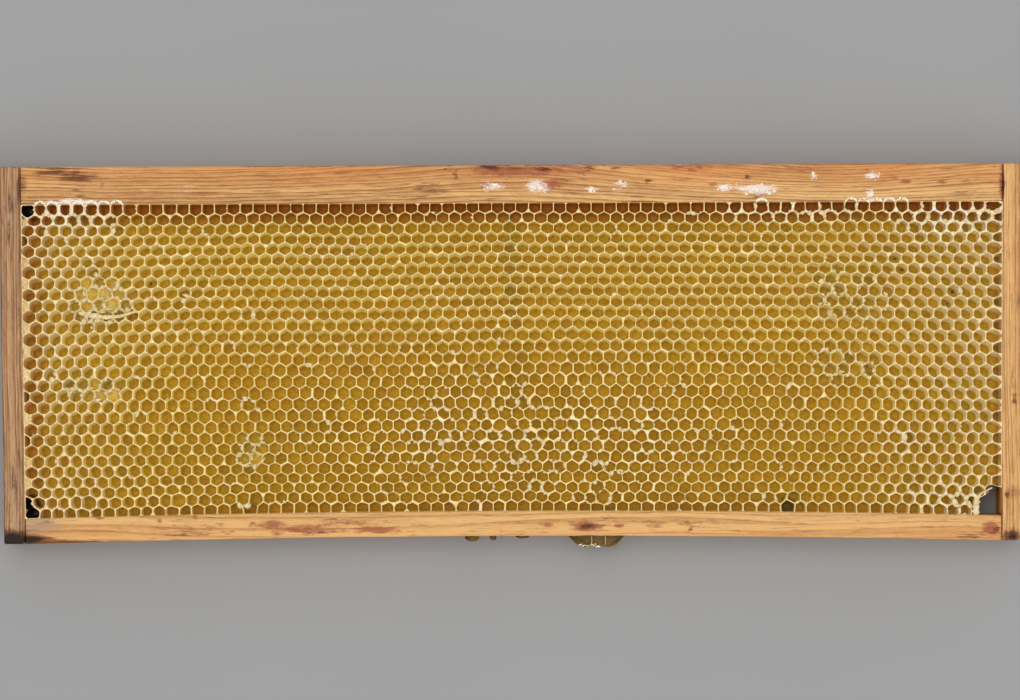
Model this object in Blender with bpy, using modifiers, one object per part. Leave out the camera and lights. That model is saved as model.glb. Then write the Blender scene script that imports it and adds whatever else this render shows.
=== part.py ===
"""A shallow hive frame with its emptied honeycomb, lying on its back with the shown side up.

Metres, +Z up. X runs along the bars, Y from the bottom bar to the top bar, Z through the depth.
The origin is under the middle of the whole frame, on the surface that it lies on.
"""

import math

import bmesh
import bpy
from mathutils import Matrix

MM = 0.001

# The wooden frame: a half-depth super frame, 435 mm wide and 160 mm high without its lugs
FRAME_WIDE = 435 * MM
FRAME_HIGH = 160 * MM
FRAME_DEEP = 25 * MM
SIDE_BAR_THICK = 8.9 * MM
TOP_BAR_HIGH = 16 * MM
BOTTOM_BAR_HIGH = 10.5 * MM

# The bottom bar is bowed up in the middle, and both side bars lean in at the bottom
BOTTOM_BAR_BOW = 2.7 * MM
BOW_CUTS = 11
LEFT_LEAN = 1.7 * MM
RIGHT_LEAN = 1.1 * MM

# The lugs that the frame hangs by are the ends of a tongue let through the side bars
LUG_OUT = 17.5 * MM
LUG_HIGH = 10 * MM
TONGUE_DEEP = 14 * MM
TONGUE_OVERLAP = 3 * MM
SLOT_PAST_EDGE = 5 * MM

FIT_GAP = 0.3 * MM
EDGE_ROUND = 0.7 * MM

# The comb fills the frame and stands just below the faces of the bars
COMB_INSET = 0.6 * MM
RELIEF_COLUMNS = 100
RELIEF_ROWS = 28
PIT_DEEP = 10 * MM
RIM_UNEVEN = 0.35 * MM

# Corners of the comb: one is missing, and two have a deep dark hollow
MISSING_WIDE = 11.5 * MM
MISSING_HIGH = 12.5 * MM
HOLLOW_DEEP = 20 * MM
HOLLOW_SIZE = (5.5 * MM, 6.5 * MM)
HOLLOW_FROM_SIDE = 3.4 * MM
UPPER_HOLLOW_FROM_TOP = 3.6 * MM
LOWER_HOLLOW_FROM_BOTTOM = 5.4 * MM

# The large lump of burr comb under the bottom bar, with its row of cells that open downwards
CELL = 5.4 * MM
BURR_HANGS = 5.6 * MM
BURR_MIDDLE = 35.5 * MM
BURR_WIDE = 24 * MM
BURR_DEEP = 13 * MM
BURR_NARROWS = 0.3
BURR_RAGGED = 0.12
BURR_CORNERS_OFF = 0.25
BURR_CELLS_APART = 1.15 * CELL
BURR_CELL_MOUTH = 0.42 * CELL
BURR_CELL_BOTTOM = 0.2 * CELL
BURR_CELL_LONG = 8 * MM

# Scraps of burr comb beside it: middle x, width, how far it hangs and depth
SCRAP_UNEVEN = 0.15
SCRAP_BURIED = 0.35
SCRAPS = (
    (-17.5 * MM, 6.5 * MM, 2.6 * MM, 6 * MM),
    (-8.5 * MM, 3.0 * MM, 2.2 * MM, 3 * MM),
    (4.0 * MM, 6.0 * MM, 1.4 * MM, 4 * MM),
)

# The whole, with the burr comb, is centred on the origin
BASE_Y = -(FRAME_HIGH - BURR_HANGS + BOTTOM_BAR_BOW) / 2
TOP_Y = BASE_Y + FRAME_HIGH
HALF_WIDE = FRAME_WIDE / 2
MIDDLE_Z = FRAME_DEEP / 2

PINE = (0.70, 0.43, 0.20)
GREY_PINE = (0.52, 0.32, 0.18)
WAX = (0.62, 0.47, 0.12)
BURR_WAX = (0.33, 0.25, 0.10)


def material(name, colour, roughness):
    """A Principled material with one colour."""
    made = bpy.data.materials.new(name)
    made.use_nodes = True
    shader = made.node_tree.nodes["Principled BSDF"]
    shader.inputs["Base Color"].default_value = (*colour, 1)
    shader.inputs["Roughness"].default_value = roughness
    shader.inputs["Metallic"].default_value = 0
    return made


def collection(name):
    made = bpy.data.collections.new(name)
    bpy.context.scene.collection.children.link(made)
    return made


def object_from(shape, name, home, look=None):
    """Turns a bmesh into an object in the home collection."""
    mesh = bpy.data.meshes.new(name)
    bmesh.ops.recalc_face_normals(shape, faces=shape.faces)
    shape.to_mesh(mesh)
    shape.free()
    made = bpy.data.objects.new(name, mesh)
    home.objects.link(made)
    if look:
        mesh.materials.append(look)
    return made


def box(low, high, cuts=0):
    """A box between two corners, cut across its length into cuts + 1 stretches."""
    shape = bmesh.new()
    bmesh.ops.create_cube(shape, size=1)
    for vert in shape.verts:
        for axis in range(3):
            share = vert.co[axis] + 0.5
            vert.co[axis] = low[axis] + share * (high[axis] - low[axis])
    if cuts:
        lengthwise = [e for e in shape.edges if abs(e.verts[0].co.x - e.verts[1].co.x) > 1e-6]
        bmesh.ops.subdivide_edges(shape, edges=lengthwise, cuts=cuts, use_grid_fill=True)
    return shape


def helper(shape, name, home):
    """A box that cuts or joins another piece, and isn't part of the object."""
    made = object_from(shape, name, home)
    made.hide_render = True
    made.display_type = "WIRE"
    return made


def boolean(obj, operation, other):
    modifier = obj.modifiers.new(operation.lower(), "BOOLEAN")
    modifier.operation = operation
    modifier.object = other


def round_edges(obj):
    modifier = obj.modifiers.new("worn edges", "BEVEL")
    modifier.width = EDGE_ROUND
    modifier.segments = 2
    modifier.limit_method = "ANGLE"
    modifier.angle_limit = math.radians(40)


def left_inside(y):
    """x of the left side bar's inner face at height y."""
    return -HALF_WIDE + SIDE_BAR_THICK + LEFT_LEAN * (TOP_Y - y) / FRAME_HIGH


def right_inside(y):
    return HALF_WIDE - SIDE_BAR_THICK - RIGHT_LEAN * (TOP_Y - y) / FRAME_HIGH


def bow(x):
    """How far the bottom bar is bowed up at x."""
    return BOTTOM_BAR_BOW * (1 - min(1, abs(x / (HALF_WIDE - SIDE_BAR_THICK))) ** 2)


def tongue_z(gap=0.0):
    """Lowest and highest z of a tongue, or of its slot with a gap all round."""
    return MIDDLE_Z - TONGUE_DEEP / 2 - gap, MIDDLE_Z + TONGUE_DEEP / 2 + gap


def top_bar(home, helpers, look):
    """The top bar between the side bars, with a tongue through both that ends in the lugs."""
    reach = HALF_WIDE - SIDE_BAR_THICK - FIT_GAP
    body = box((-reach, TOP_Y - TOP_BAR_HIGH, 0), (reach, TOP_Y, FRAME_DEEP))
    bar = object_from(body, "top_bar", home, look)
    low_z, high_z = tongue_z()
    end = HALF_WIDE + LUG_OUT
    tongue = box((-end, TOP_Y - LUG_HIGH, low_z), (end, TOP_Y, high_z))
    boolean(bar, "UNION", helper(tongue, "top_tongue", helpers))
    round_edges(bar)


def bottom_bar(home, helpers, look):
    """The bowed bottom bar, with a short tongue let into each side bar."""
    low_x = left_inside(BASE_Y) + FIT_GAP
    high_x = right_inside(BASE_Y) - FIT_GAP
    shape = box((low_x, BASE_Y, 0), (high_x, BASE_Y + BOTTOM_BAR_HIGH, FRAME_DEEP), cuts=BOW_CUTS)
    for vert in shape.verts:
        vert.co.y += bow(vert.co.x)
    bar = object_from(shape, "bottom_bar", home, look)
    low_z, high_z = tongue_z()
    sides = (("left", low_x, -HALF_WIDE + LEFT_LEAN), ("right", high_x, HALF_WIDE - RIGHT_LEAN))
    for side, inner, outer in sides:
        ends = sorted((inner - math.copysign(TONGUE_OVERLAP, inner), outer))
        tongue = box((ends[0], BASE_Y + EDGE_ROUND, low_z), (ends[1], BASE_Y + BOTTOM_BAR_HIGH, high_z))
        boolean(bar, "UNION", helper(tongue, f"bottom_tongue_{side}", helpers))
    round_edges(bar)


def side_bar(name, sign, lean, home, helpers, look):
    """A side bar with a slot for each tongue, sheared so that its foot leans in."""
    outer = sign * HALF_WIDE
    inner = outer - sign * SIDE_BAR_THICK
    low_x, high_x = sorted((inner, outer))
    shape = box((low_x, BASE_Y, 0), (high_x, TOP_Y, FRAME_DEEP))
    for vert in shape.verts:
        vert.co.x -= sign * lean * (TOP_Y - vert.co.y) / FRAME_HIGH
    bar = object_from(shape, name, home, look)
    low_z, high_z = tongue_z(FIT_GAP)
    slots = (
        ("upper", TOP_Y - LUG_HIGH - FIT_GAP, TOP_Y + SLOT_PAST_EDGE),
        ("lower", BASE_Y - SLOT_PAST_EDGE, BASE_Y + BOTTOM_BAR_HIGH + FIT_GAP),
    )
    for place, low_y, high_y in slots:
        slot = box((low_x - SLOT_PAST_EDGE, low_y, low_z), (high_x + SLOT_PAST_EDGE, high_y, high_z))
        boolean(bar, "DIFFERENCE", helper(slot, f"{name}_{place}_slot", helpers))
    round_edges(bar)


def comb_columns():
    """Columns of (u, v) over the comb. Odd ones stand half a step higher, which makes a triangular net."""
    columns = []
    for i in range(RELIEF_COLUMNS + 1):
        if i % 2:
            steps = [0, *(k + 0.5 for k in range(RELIEF_ROWS)), RELIEF_ROWS]
        else:
            steps = range(RELIEF_ROWS + 1)
        columns.append([(i / RELIEF_COLUMNS, step / RELIEF_ROWS) for step in steps])
    return columns


def comb_xy(u, v):
    """A point of the comb's outline grid, within the leaning side bars and over the bowed bottom bar."""
    low_y = BASE_Y + BOTTOM_BAR_HIGH + FIT_GAP
    high_y = TOP_Y - TOP_BAR_HIGH - FIT_GAP
    rough_x = (2 * u - 1) * (HALF_WIDE - SIDE_BAR_THICK)
    low_y += bow(rough_x)
    y = low_y + v * (high_y - low_y)
    low_x, high_x = left_inside(y) + FIT_GAP, right_inside(y) - FIT_GAP
    return low_x + u * (high_x - low_x), y


def in_ellipse(x, y, middle, size):
    return ((x - middle[0]) / size[0]) ** 2 + ((y - middle[1]) / size[1]) ** 2 < 1


def hollows():
    """Middles of the two deep hollows at the comb's left corners."""
    inner_top = TOP_Y - TOP_BAR_HIGH
    inner_bottom = BASE_Y + BOTTOM_BAR_HIGH
    return (
        (left_inside(inner_top) + HOLLOW_FROM_SIDE, inner_top - UPPER_HOLLOW_FROM_TOP),
        (left_inside(inner_bottom) + HOLLOW_FROM_SIDE, inner_bottom + LOWER_HOLLOW_FROM_BOTTOM),
    )


def is_pit(i, k, last, shift):
    """Every third point of the net is a pit, and the six round it are its rim."""
    if i in (0, RELIEF_COLUMNS) or k in (0, last):
        return False
    return k % 3 == (0 if i % 2 else 1) + shift


def comb_depth(i, k, last, x, y, front):
    """How far below the plane of the rims a point of the front or back face lies."""
    near_hollow = any(in_ellipse(x, y, middle, HOLLOW_SIZE) for middle in hollows())
    pit = is_pit(i, k, last, 0 if front else 1)
    if near_hollow:
        return HOLLOW_DEEP if front and not (i == 0 or k in (0, last)) else 0.0
    uneven = RIM_UNEVEN * (1 + math.sin(2.1 * i + 1.3 * k)) / 2
    return PIT_DEEP if pit else uneven


def comb(home, look):
    """The wax comb: one slab with six-sided pits on both faces, set against each other as in real comb."""
    shape = bmesh.new()
    columns = comb_columns()
    sheets = []
    for front in (True, False):
        sheet = []
        for i, column in enumerate(columns):
            points = []
            for k, (u, v) in enumerate(column):
                x, y = comb_xy(u, v)
                depth = comb_depth(i, k, len(column) - 1, x, y, front)
                z = FRAME_DEEP - COMB_INSET - depth if front else COMB_INSET + depth
                points.append(shape.verts.new((x, y, z)))
            sheet.append(points)
        sheets.append(sheet)
    front_sheet, back_sheet = sheets
    corner = comb_xy(1, 0)
    walls = {}
    for i in range(RELIEF_COLUMNS):
        even, odd = (i, i + 1) if i % 2 == 0 else (i + 1, i)
        net = [((even, k), (odd, k), (odd, k + 1)) for k in range(RELIEF_ROWS + 1)]
        net += [((even, k), (odd, k + 1), (even, k + 1)) for k in range(RELIEF_ROWS)]
        for triple in net:
            places = [front_sheet[a][b].co for a, b in triple]
            x, y = (sum(place[axis] for place in places) / 3 for axis in (0, 1))
            if in_ellipse(x, y, corner, (MISSING_WIDE, MISSING_HIGH)):
                continue
            for sheet in sheets:
                shape.faces.new([sheet[a][b] for a, b in triple])
            for start, end in zip(triple, triple[1:] + triple[:1]):
                walls[frozenset((start, end))] = walls.get(frozenset((start, end)), 0) + 1
    for edge, faces in walls.items():
        if faces == 1:
            (a, b), (c, d) = sorted(edge)
            shape.faces.new((front_sheet[a][b], front_sheet[c][d], back_sheet[c][d], back_sheet[a][b]))
    loose = [vert for vert in shape.verts if not vert.link_faces]
    bmesh.ops.delete(shape, geom=loose, context="VERTS")
    object_from(shape, "comb", home, look)


def burr_comb(home, helpers, look):
    """The larger piece of burr comb: a ragged lump under the bottom bar, with cells open downwards."""
    shape = bmesh.new()
    bmesh.ops.create_cube(shape, size=1)
    bmesh.ops.subdivide_edges(shape, edges=shape.edges, cuts=4, use_grid_fill=True)
    high = BASE_Y + bow(BURR_MIDDLE) - FIT_GAP
    for vert in shape.verts:
        across, down, deep = vert.co.x * 2, 0.5 - vert.co.y, vert.co.z * 2
        taper = 1 - BURR_NARROWS * down
        waves = BURR_RAGGED * (1 + math.sin(5 * across + 2 * deep))
        ragged = 1 - waves - BURR_CORNERS_OFF * across**2 * deep**2
        vert.co.x = BURR_MIDDLE + across * taper * BURR_WIDE / 2
        vert.co.y = high - down * ragged * (BURR_HANGS + bow(BURR_MIDDLE) - BOTTOM_BAR_BOW - FIT_GAP)
        vert.co.z = MIDDLE_Z + deep * taper * BURR_DEEP / 2
    lump = object_from(shape, "burr_comb", home, look)
    for n, across in enumerate((-1, 0, 1)):
        pit = bmesh.new()
        sizes = {"radius1": BURR_CELL_BOTTOM, "radius2": BURR_CELL_MOUTH, "depth": BURR_CELL_LONG}
        bmesh.ops.create_cone(pit, cap_ends=True, segments=6, **sizes)
        bmesh.ops.rotate(pit, verts=pit.verts, matrix=Matrix.Rotation(math.radians(90), 3, "X"))
        low = BASE_Y - BURR_HANGS + BOTTOM_BAR_BOW
        place = (BURR_MIDDLE + across * BURR_CELLS_APART, low, MIDDLE_Z)
        bmesh.ops.translate(pit, verts=pit.verts, vec=place)
        boolean(lump, "DIFFERENCE", helper(pit, f"burr_cell_{n + 1}", helpers))


def scrap(name, middle, wide, hangs, deep, home, look):
    """A small drop-shaped scrap of wax under the bottom bar, flat where it meets the wood."""
    shape = bmesh.new()
    bmesh.ops.create_uvsphere(shape, u_segments=10, v_segments=6, radius=1)
    high = BASE_Y + bow(middle) - FIT_GAP
    for vert in shape.verts:
        x, y, z = vert.co
        uneven = 1 + SCRAP_UNEVEN * math.sin(3 * x + 4 * z)
        vert.co = (
            middle + x * uneven * wide / 2,
            high + min(0, y - SCRAP_BURIED) * hangs / (1 + SCRAP_BURIED),
            MIDDLE_Z + z * deep / 2,
        )
    object_from(shape, name, home, look)


def main():
    for obj in list(bpy.data.objects):
        bpy.data.objects.remove(obj)
    home = collection("honeycomb_frame")
    helpers = collection("cutters_and_tongues")
    pine = material("pine", PINE, 0.75)
    grey_pine = material("grey_pine", GREY_PINE, 0.8)
    wax = material("wax", WAX, 0.55)
    burr_wax = material("burr_wax", BURR_WAX, 0.6)
    top_bar(home, helpers, pine)
    bottom_bar(home, helpers, pine)
    side_bar("side_bar_left", -1, LEFT_LEAN, home, helpers, grey_pine)
    side_bar("side_bar_right", 1, RIGHT_LEAN, home, helpers, pine)
    comb(home, wax)
    burr_comb(home, helpers, burr_wax)
    for n, (middle, wide, hangs, deep) in enumerate(SCRAPS):
        scrap(f"burr_scrap_{n + 1}", middle, wide, hangs, deep, home, burr_wax)


main()
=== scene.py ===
"""Looks of a shallow hive frame with its emptied honeycomb, lying on its back and seen from above.

Metres, in the frame's own axes: X along the bars, Y from the bottom bar to the top bar and Z up,
from the back of the comb to the side that shows. Sizes are named here in millimetres times MM.
"""

import math

import bmesh
import bpy
import numpy as np
from mathutils import Matrix, Vector
from numpy.random import default_rng


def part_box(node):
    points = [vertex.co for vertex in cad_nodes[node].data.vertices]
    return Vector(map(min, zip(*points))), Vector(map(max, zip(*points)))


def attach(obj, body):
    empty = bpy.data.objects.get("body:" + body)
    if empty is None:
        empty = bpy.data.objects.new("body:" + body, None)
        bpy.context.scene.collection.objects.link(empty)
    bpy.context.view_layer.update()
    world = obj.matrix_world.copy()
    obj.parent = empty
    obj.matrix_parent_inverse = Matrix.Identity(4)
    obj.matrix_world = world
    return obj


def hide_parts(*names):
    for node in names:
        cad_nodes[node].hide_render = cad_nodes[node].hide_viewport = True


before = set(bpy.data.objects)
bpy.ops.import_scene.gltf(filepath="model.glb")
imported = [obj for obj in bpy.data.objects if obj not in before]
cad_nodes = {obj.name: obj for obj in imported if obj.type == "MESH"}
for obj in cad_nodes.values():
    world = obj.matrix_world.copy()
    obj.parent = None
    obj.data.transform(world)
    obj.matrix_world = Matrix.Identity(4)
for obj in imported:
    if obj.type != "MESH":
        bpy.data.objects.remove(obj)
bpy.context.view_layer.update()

MM = 0.001
SEED = 7


def in_metres(*rows):
    """Rows of x, y, half width, half height and strength, in millimetres, as middles, sizes and strengths."""
    return [((x * MM, y * MM), (wide * MM, high * MM), strength) for x, y, wide, high, strength in rows]


# The bars' shape, as the solids have it
SIDE_BAR_THICK = 8.9 * MM
BOTTOM_BAR_HIGH = 10.5 * MM
BOTTOM_BAR_BOW = 2.7 * MM
LEFT_LEAN = 1.7 * MM
RIGHT_LEAN = 1.1 * MM

TOP_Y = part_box("side_bar_left")[1].y
BASE_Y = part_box("side_bar_left")[0].y
FRAME_HIGH = TOP_Y - BASE_Y
HALF_WIDE = -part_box("side_bar_left")[0].x
FRAME_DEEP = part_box("top_bar")[1].z
MIDDLE_Z = FRAME_DEEP / 2
INNER_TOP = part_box("top_bar")[0].y
INNER_BOTTOM = BASE_Y + BOTTOM_BAR_HIGH

# The comb's net of cells. Rows alternate between whole cells and cells that start half a step out
ROWS = 29
COLUMNS = 77
ROWS_CLOSER_AT_ENDS = 0.07
CELLS_WIDER_AT_ENDS = 0.02
RIM_Z = FRAME_DEEP - 0.5 * MM
CELL_DEEP = 11.2 * MM
BASE_RISE = 0.8 * MM
WALL_THICK = 0.36 * MM
WALL_BENDS = 0.14 * MM
TOUCH_GAP = 0.04 * MM
# How much a cell's corners are rounded: everywhere, more at the comb's ends, and by a lump of wax at most
ROUNDING = 0.30 * MM
ROUNDER_AT_ENDS = 0.28 * MM
LUMP_MOST = 1.1 * MM

# The missing corner of the comb, and its wide or run-together cells: x, y, half width and half height in
# millimetres, and how dark they are painted, a painted shade of their depths
MISSING_CORNER = (11.5 * MM, 12.5 * MM)
HOLLOW_WALLS_DOWN = 9 * MM
HOLLOW_WIDENS = 0.9 * MM
FILLED_BROWN = 0.3
HOLLOWS = in_metres(
    (-205.6, 62.4, 3.4, 3.6, 1.0),
    (-205.5, -63.5, 3.6, 5.2, 1.0),
    (117.5, -62.6, 2.7, 2.2, 0.6),
    (-181.5, -61.0, 2.6, 4.2, 0.1),
    (-143.1, -60.5, 2.6, 4.0, 0.01),
    (-110.8, -60.5, 2.6, 4.0, 0.12),
    (37.3, -58.0, 2.6, 4.0, 0.05),
)

# Wax along the wood, half the thickness of the midrib between the two sides, and how far the cells lean
RIM_ON_RIGHT_BAR = 0.26 * MM
RIM_ON_LEFT_BAR = 0.3 * MM
RIM_ON_BARS = 0.08 * MM
MIDRIB_HALF = 0.05 * MM
LEAN_MOST = 0.15
SIDE_LEAN_MOST = 0.055

# Torn places: x, y, half width and half height in millimetres, and strength
YELLOW_PATCHES = in_metres(
    (-174.8, 24.0, 19, 14, 0.9),
    (-177.0, -13.0, 16, 7, 0.9),
    (-111.0, -39.0, 8, 10, 0.9),
    (-71.0, 2.0, 7, 4, 0.5),
    (143.0, 24.0, 26, 18, 0.35),
    (143.0, -3.0, 24, 12, 0.35),
)
RAGGED_PATCHES = in_metres(
    (188.0, 59.0, 40, 12, 1.3),
    (120.0, 62.0, 50, 8, 1.2),
    (-186.0, 62.0, 32, 14, 1.3),
    (188.0, -60.0, 32, 12, 0.8),
    (15.0, -30.0, 152, 45, 0.6),
    (165.0, -35.0, 12, 12, 0.6),
)


def linear(red, green, blue):
    """A colour as the eye reads it, from 0 to 255, turned into light."""
    parts = (part / 255 for part in (red, green, blue))
    return tuple(part / 12.92 if part < 0.0405 else ((part + 0.055) / 1.055) ** 2.4 for part in parts)


# How deep the wood is worn, and how far its faces stand below the solid's
WORN_DEEP = 0.12 * MM
FACE_SUNK = 0.12 * MM
# How much more the edges are worn, and how dirty they and all of the wood are
EDGES_WORN = 0.8
DIRT_ON_EDGES = 0.25
DIRT_EVERYWHERE = 0.12

# How the top bar's rings run: places along it and how high they stand there, in millimetres
TOP_BAR_RINGS = (
    (-217, 0.0), (-175, -1.3), (-132, -1.3), (-90, -0.4), (-47, 1.3), (-26, 2.5), (-5, 3.0),
    (16, 2.5), (38, 0.8), (80, -2.5), (105, -4.2), (135, -6.4), (165, -4.7), (207, -1.7),
)

# Stains on the shown side of the wood by kind: x, y, half width and half height in millimetres, and strength.
# They fade out at so many times their size
STAIN_WIDENS = 1.25
STAINS = {
    "dirt": (
        (-197, 78.8, 12.5, 1.5, 1.1), (-184.2, 76.6, 14, 1.6, 1.05), (-191.9, 80.6, 16, 1, 0.9),
        (-187, 78, 18, 3.6, 0.55), (-183.6, 71.4, 5.5, 1.1, 0.7), (-182.7, 69.3, 4.7, 1.1, 0.7),
        (-207.3, 73.8, 2.1, 8.1, 0.6), (-173.8, 73.5, 1.7, 1.1, 0.6), (-23.7, 77.1, 1.5, 4.5, 0.8),
        (-38.2, 74, 14.2, 1.3, 0.5), (-32.9, 70.6, 15.3, 2.1, 0.6), (-10.8, 72.6, 2.5, 1.7, 0.9),
        (-58.3, 81.3, 2.5, 1.3, 0.5), (-27.1, 80.6, 9.5, 1.9, 0.5), (-7, 79.8, 10.6, 3, 0.5),
        (13, 79.8, 7.6, 2.1, 0.5), (34.8, 80.7, 4.5, 1.5, 0.6), (44.8, 80.1, 3.8, 1.3, 0.6),
        (11.5, 74.3, 5.7, 1.7, 0.6), (58.2, 74.5, 1.5, 1.3, 1.3), (100.2, 75.8, 1.9, 1.5, 1.3),
        (68.4, 81.7, 7.4, 1.3, 0.7), (192.5, 68, 10.6, 3.8, 0.4), (208.4, 72, 1.1, 8.3, 0.9),
        (28.2, 68.7, 9.3, 2.1, 0.3), (-44.1, 69.4, 26.5, 3.8, 0.3), (-205.1, -76.6, 12.7, 2.8, 2),
        (-187.8, -77.6, 16.9, 1.5, 1.1), (31.1, -72, 4.4, 1.7, 0.9), (75.2, -73.3, 1.4, 1.1, 1.1),
        (205.3, -73.8, 2.8, 2.1, 0.7), (194, -76.9, 12.7, 1.9, 0.5), (207.2, -66.6, 1.3, 1.7, 0.8),
        (-7.6, -76.3, 14.9, 1.3, 0.5), (34.9, -76.3, 14.9, 1.5, 0.6), (-209.4, 71.5, 1.7, 10.4, 0.7),
        (-212.1, -76.6, 8.7, 5, 2.2), (-208.6, 18.7, 1.5, 6.4, 0.4), (-212.6, 60, 4.5, 24, 0.45),
        (-210.4, -50, 4.5, 26, 0.45), (213.3, -16.9, 3, 1.3, 0.7), (212.9, -19.5, 2.5, 2.1, 0.9),
        (212.1, -56.8, 4, 1.3, 0.9), (210, -59.3, 1.9, 2.1, 0.9), (211.8, -76.8, 5.2, 2.9, 1.7),
        (209.2, 72.6, 0.6, 8.9, 0.6),
    ),
    "red": (
        (5.8, 78.9, 40.3, 3.8, 0.8), (17.4, 73.8, 7.4, 3, 0.8), (75.8, 80.6, 12.7, 2.3, 0.6),
        (104.4, 68.6, 5.3, 1.9, 0.5), (85.7, 72.9, 3.6, 1.5, 0.7), (122.5, 79.3, 17, 2.1, 0.5),
        (161.7, 76, 3.2, 1.5, 0.9), (167, 73.9, 3, 1.1, 0.9), (182.7, 73.8, 2.5, 1.5, 0.8),
        (192.5, 73.6, 4.2, 1.7, 0.6), (208, 72.4, 1.5, 8.7, 1.3), (150.9, 78.4, 2.1, 1.3, 0.6),
        (-175.2, -67.4, 2.5, 1.5, 0.9), (-149.7, -69, 1.7, 1.3, 0.8), (-134.9, -67.4, 1.7, 1.3, 0.8),
        (-110.3, -70, 1.7, 1.3, 0.8), (-102.4, -70.9, 10, 2.5, 1), (-88, -72.5, 26, 3, 0.7),
        (-140, -73, 30, 3, 0.4), (-70, -70, 30, 2.4, 0.5), (60, -70, 30, 2.4, 0.35),
        (-58.5, -73, 12.7, 1.9, 1.1), (13.7, -71.1, 5.1, 1.9, 0.8), (30.6, -71.8, 8.1, 3.4, 1.2),
        (45.5, -71.9, 3, 1.3, 0.9), (203.2, -73.8, 4.9, 3.8, 1.1), (152, -71, 3.8, 1.3, 0.4),
        (212.1, -58.9, 4, 4.2, 0.6), (211.8, -75.5, 4.2, 3, 0.6), (212.9, -13.1, 2.5, 2.5, 0.5),
        (210.6, 43.1, 1.7, 3.6, 0.5),
    ),
    "white": (
        (-8.3, 72.4, 5.9, 2.3, 0.8), (10.8, 72.6, 6.4, 3.4, 0.8), (33.9, 71, 3.6, 1.9, 0.6),
        (46.5, 73.3, 5.5, 2.5, 0.5), (69.9, 82.1, 6.8, 1.3, 0.6), (90, 71.6, 4.9, 1.9, 1),
        (104.2, 70.9, 10.6, 2.5, 1.2), (153, 76.3, 3.4, 2.1, 0.9), (152.1, 68.6, 2.5, 2.5, 0.9),
        (-186.3, 66.5, 15.9, 1.7, 0.8), (-137.3, 71.9, 3.4, 2.1, 0.3), (128.4, 76.3, 1.7, 1.7, 0.6),
        (152.5, 65.2, 8.1, 1.7, 0.8),
    ),
    "grey": (
        (-201.7, -70.9, 13.8, 5.9, 0.9), (-212, 62, 5.1, 19.9, 0.6), (-212.1, -55.6, 5.5, 21.2, 0.5),
    ),
}

# Scraps of wax: sides of a scrap, how thick, the highest that one may reach and how many
SCRAP_SIDES = 8
FLAKE_THICK = 0.18 * MM
SMEAR_THICK = 0.12 * MM
SCRAP_TOP = FRAME_DEEP - 0.03 * MM
SMALL_FLAKES = 600
LONG_FLAKES = 330
YELLOW_FLAKES = 170
SPECK_CRUMBS = 4
RIM_CRUMBS = 14
# x, y and size in millimetres of the big flakes, and of the dark crumbs in a few cells
BIG_FLAKES = (
    (-5.1, 7.3, 2), (6.2, -14, 2.4), (37.1, -45.1, 1.8), (-24.2, 3.1, 1.6), (164.5, -33.3, 2.6),
    (-113.4, -17.8, 1.8), (2.3, -45, 1.8), (9.5, -54.3, 2), (-179.9, 18.5, 3.2), (-194.5, -8.6, 2.8),
    (-130.1, 53.6, 2.2), (-169.6, 55.4, 3), (156, -32.8, 1.6), (166.8, 6.6, 1.6), (130.5, -48.4, 1.6),
    (-77.1, 47.4, 1.4), (-67.8, 49.1, 1.6), (-49.5, 49.9, 1.6), (-34.6, 60.4, 1.8), (46.8, 54.6, 2),
    (66.4, 57.1, 2.2), (75.7, 60, 2.2), (-112, 19.5, 2.2), (-90, 3, 2), (-160.5, -6.3, 3), (-119.7, 4.7, 2.2),
    (-107.8, 8.1, 1.8), (-135.9, 4.7, 1.8), (-142.6, 22.5, 1.6), (-142.6, 12.3, 1.4), (-129.9, -8.5, 1.8),
    (-128.2, -19, 1.6), (-112.1, -1.2, 2), (-157.9, -23.3, 2.4), (-111.7, -19, 2.4), (-153, 23.8, 2.2),
    (-138.5, 23.8, 2.4), (-31.9, -20.3, 1.6), (-11.1, -22.5, 2), (-6.4, -31.4, 1.8), (-28.9, -35.6, 2.8),
    (-39.1, -35.2, 1.6), (-0.1, -37.3, 1.8), (-25.5, -31, 1.4), (2.1, -44.1, 3.2), (-36.6, -45.8, 2.2),
    (-42.5, -45.8, 1.8), (-15.8, -38.2, 1.6), (11.8, -37.3, 2.2), (13.5, -25.4, 1.8), (18.2, -48.8, 2),
    (9.7, -54.7, 1.8), (-9.8, -54.7, 1.6), (36, -44.1, 2.8), (39, -46.2, 1.8), (36, -31.8, 1.8),
    (44.1, -31.4, 2), (56.8, -40.3, 1.8), (64.9, -35.6, 1.8), (43.7, -48.4, 2), (9.7, -19.1, 2),
    (26.7, -19.1, 1.6), (50.5, -45.8, 1.6), (62.8, -22, 1.6), (-51.8, -41.1, 2), (35.2, -54.3, 1.8),
    (-49.7, -50.1, 1.4), (-115.5, -62.6, 2.4), (33.6, -61, 1.8), (41, -61, 1.8), (-178, -64, 1.4),
    (-192, -64, 1.4), (194, -63.5, 3), (191, -65.5, 2), (-155, -60, 1.4), (122.5, -62.5, 2), (-184, 57, 2),
)
DARK_SPECKS = (
    (160.9, 41.8, 0.9), (168.1, 37.6, 1), (189.8, 29, 1), (187.2, 24.3, 0.8), (-152.7, 30.3, 0.8),
)
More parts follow.
